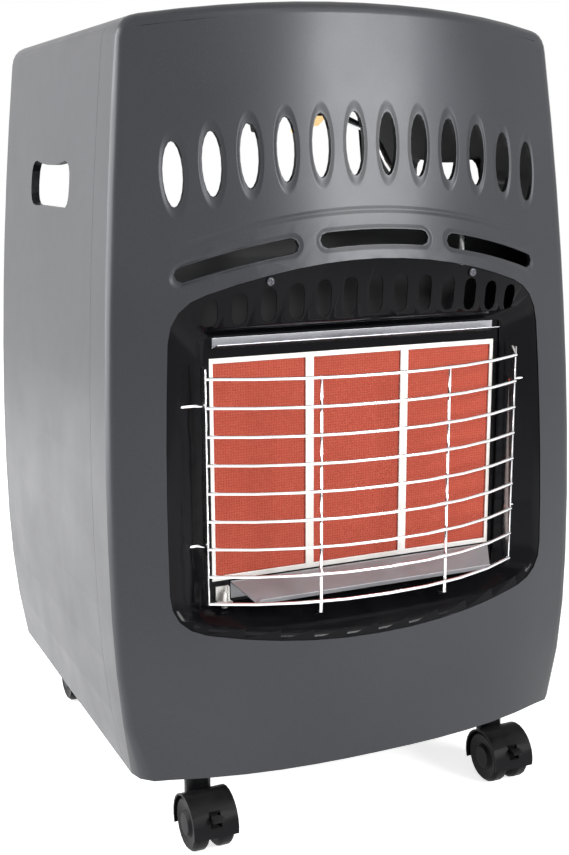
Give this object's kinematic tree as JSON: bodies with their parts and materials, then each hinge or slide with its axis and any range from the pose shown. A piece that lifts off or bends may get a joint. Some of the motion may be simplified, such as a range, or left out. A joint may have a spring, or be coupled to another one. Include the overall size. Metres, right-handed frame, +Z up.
{
  "type": "portable gas cabinet heater",
  "caption": "Portable gas cabinet heater with curved steel cabinet, ceramic radiant burner behind a chrome wire guard, open rear cylinder bay and swivel casters.",
  "frame": {"origin": "on the floor under the middle of the overall width and depth", "axes": "+Z up; the burner and guard face -Y, the open cylinder bay faces +Y; +X is to the right when the burner is seen from the front"},
  "size_m": [0.4674, 0.4498, 0.7303],
  "materials": {
    "body_paint": "semi-gloss graphite paint",
    "shield_steel": "plain rolled steel",
    "bezel_black": "gloss black enamel",
    "burner_steel": "satin",
    "ceramic": "matt orange-red ceramic with fine holes",
    "brass": "machined",
    "tube_steel": "drawn tube",
    "reflector_bright": "bright",
    "reflector_brushed": "brushed",
    "guard_chrome": "bright plated",
    "control_black": "fine grain",
    "button_red": "gloss",
    "screw_steel": "zinc plated",
    "caster_steel": "zinc plated",
    "caster_black": "satin",
    "wheel_black": "satin"
  },
  "bodies": {
    "cabinet": {"front_shell": "body_paint", "cabinet_wrapper": "body_paint", "base_pan": "body_paint", "heat_shield": "shield_steel", "burner_bezel": "bezel_black", "burner_housing": "bezel_black", "burner_frame": "burner_steel", "ceramic_tile_left": "ceramic", "ceramic_tile_centre": "ceramic", "ceramic_tile_right": "ceramic", "burner_plenum": "burner_steel", "injector_rail": "brass", "gas_tube": "tube_steel", "upper_reflector": "reflector_bright", "lower_reflector": "reflector_brushed", "wire_guard": "guard_chrome", "pilot_burner": "burner_steel", "control_panel": "control_black", "gas_valve": "brass", "gas_inlet": "brass", "igniter_body": "control_black", "tilt_switch": "control_black", "bezel_screw_left": "screw_steel", "bezel_screw_right": "screw_steel", "caster_front_left_plate": "caster_steel", "caster_front_right_plate": "caster_steel", "caster_rear_left_plate": "caster_steel", "caster_rear_right_plate": "caster_steel"},
    "caster_front_left_swivel": {"caster_front_left_hood": "caster_black", "caster_front_left_axle": "caster_steel"},
    "caster_front_left_wheel_left": {"caster_front_left_wheel_left": "wheel_black"},
    "caster_front_left_wheel_right": {"caster_front_left_wheel_right": "wheel_black"},
    "caster_front_left_brake": {"caster_front_left_brake": "caster_black"},
    "caster_front_right_swivel": {"caster_front_right_hood": "caster_black", "caster_front_right_axle": "caster_steel"},
    "caster_front_right_wheel_left": {"caster_front_right_wheel_left": "wheel_black"},
    "caster_front_right_wheel_right": {"caster_front_right_wheel_right": "wheel_black"},
    "caster_front_right_brake": {"caster_front_right_brake": "caster_black"},
    "caster_rear_left_swivel": {"caster_rear_left_hood": "caster_black", "caster_rear_left_axle": "caster_steel"},
    "caster_rear_left_wheel_left": {"caster_rear_left_wheel_left": "wheel_black"},
    "caster_rear_left_wheel_right": {"caster_rear_left_wheel_right": "wheel_black"},
    "caster_rear_right_swivel": {"caster_rear_right_hood": "caster_black", "caster_rear_right_axle": "caster_steel"},
    "caster_rear_right_wheel_left": {"caster_rear_right_wheel_left": "wheel_black"},
    "caster_rear_right_wheel_right": {"caster_rear_right_wheel_right": "wheel_black"},
    "control_knob": {"control_knob": "control_black"},
    "igniter_button": {"igniter_button": "button_red"}
  },
  "joints": [
    {"name": "caster_front_left_swivel", "type": "hinge", "parent": "cabinet", "child": "caster_front_left_swivel", "pos_m": [-0.156, -0.1541, 0.065], "axis": [0, 0, 1], "continuous": true},
    {"name": "caster_front_left_wheel_left_spin", "type": "hinge", "parent": "caster_front_left_swivel", "child": "caster_front_left_wheel_left", "pos_m": [-0.1685, -0.1741, 0.025], "axis": [1, 0, 0], "continuous": true},
    {"name": "caster_front_left_wheel_right_spin", "type": "hinge", "parent": "caster_front_left_swivel", "child": "caster_front_left_wheel_right", "pos_m": [-0.1435, -0.1741, 0.025], "axis": [1, 0, 0], "continuous": true},
    {"name": "caster_front_left_brake_lever", "type": "hinge", "parent": "caster_front_left_swivel", "child": "caster_front_left_brake", "pos_m": [-0.156, -0.19151, 0.03674], "axis": [1, 0, 0], "range_deg": [0, 12]},
    {"name": "caster_front_right_swivel", "type": "hinge", "parent": "cabinet", "child": "caster_front_right_swivel", "pos_m": [0.156, -0.1541, 0.065], "axis": [0, 0, 1], "continuous": true},
    {"name": "caster_front_right_wheel_left_spin", "type": "hinge", "parent": "caster_front_right_swivel", "child": "caster_front_right_wheel_left", "pos_m": [0.1435, -0.1741, 0.025], "axis": [1, 0, 0], "continuous": true},
    {"name": "caster_front_right_wheel_right_spin", "type": "hinge", "parent": "caster_front_right_swivel", "child": "caster_front_right_wheel_right", "pos_m": [0.1685, -0.1741, 0.025], "axis": [1, 0, 0], "continuous": true},
    {"name": "caster_front_right_brake_lever", "type": "hinge", "parent": "caster_front_right_swivel", "child": "caster_front_right_brake", "pos_m": [0.156, -0.19151, 0.03674], "axis": [1, 0, 0], "range_deg": [0, 12]},
    {"name": "caster_rear_left_swivel", "type": "hinge", "parent": "cabinet", "child": "caster_rear_left_swivel", "pos_m": [-0.166, 0.1709, 0.065], "axis": [0, 0, 1], "continuous": true},
    {"name": "caster_rear_left_wheel_left_spin", "type": "hinge", "parent": "caster_rear_left_swivel", "child": "caster_rear_left_wheel_left", "pos_m": [-0.1785, 0.1909, 0.025], "axis": [1, 0, 0], "continuous": true},
    {"name": "caster_rear_left_wheel_right_spin", "type": "hinge", "parent": "caster_rear_left_swivel", "child": "caster_rear_left_wheel_right", "pos_m": [-0.1535, 0.1909, 0.025], "axis": [1, 0, 0], "continuous": true},
    {"name": "caster_rear_right_swivel", "type": "hinge", "parent": "cabinet", "child": "caster_rear_right_swivel", "pos_m": [0.166, 0.1709, 0.065], "axis": [0, 0, 1], "continuous": true},
    {"name": "caster_rear_right_wheel_left_spin", "type": "hinge", "parent": "caster_rear_right_swivel", "child": "caster_rear_right_wheel_left", "pos_m": [0.1535, 0.1909, 0.025], "axis": [1, 0, 0], "continuous": true},
    {"name": "caster_rear_right_wheel_right_spin", "type": "hinge", "parent": "caster_rear_right_swivel", "child": "caster_rear_right_wheel_right", "pos_m": [0.1785, 0.1909, 0.025], "axis": [1, 0, 0], "continuous": true},
    {"name": "control_knob_turn", "type": "hinge", "parent": "cabinet", "child": "control_knob", "pos_m": [0.105, 0.1724, 0.68504], "axis": [0, 0.4039, 0.9148], "range_deg": [0, 180]},
    {"name": "igniter_button_press", "type": "slide", "parent": "cabinet", "child": "igniter_button", "axis": [0, -0.4039, -0.9148], "range_m": [0, 0.004], "stiffness_N_per_m": 300}
  ]
}
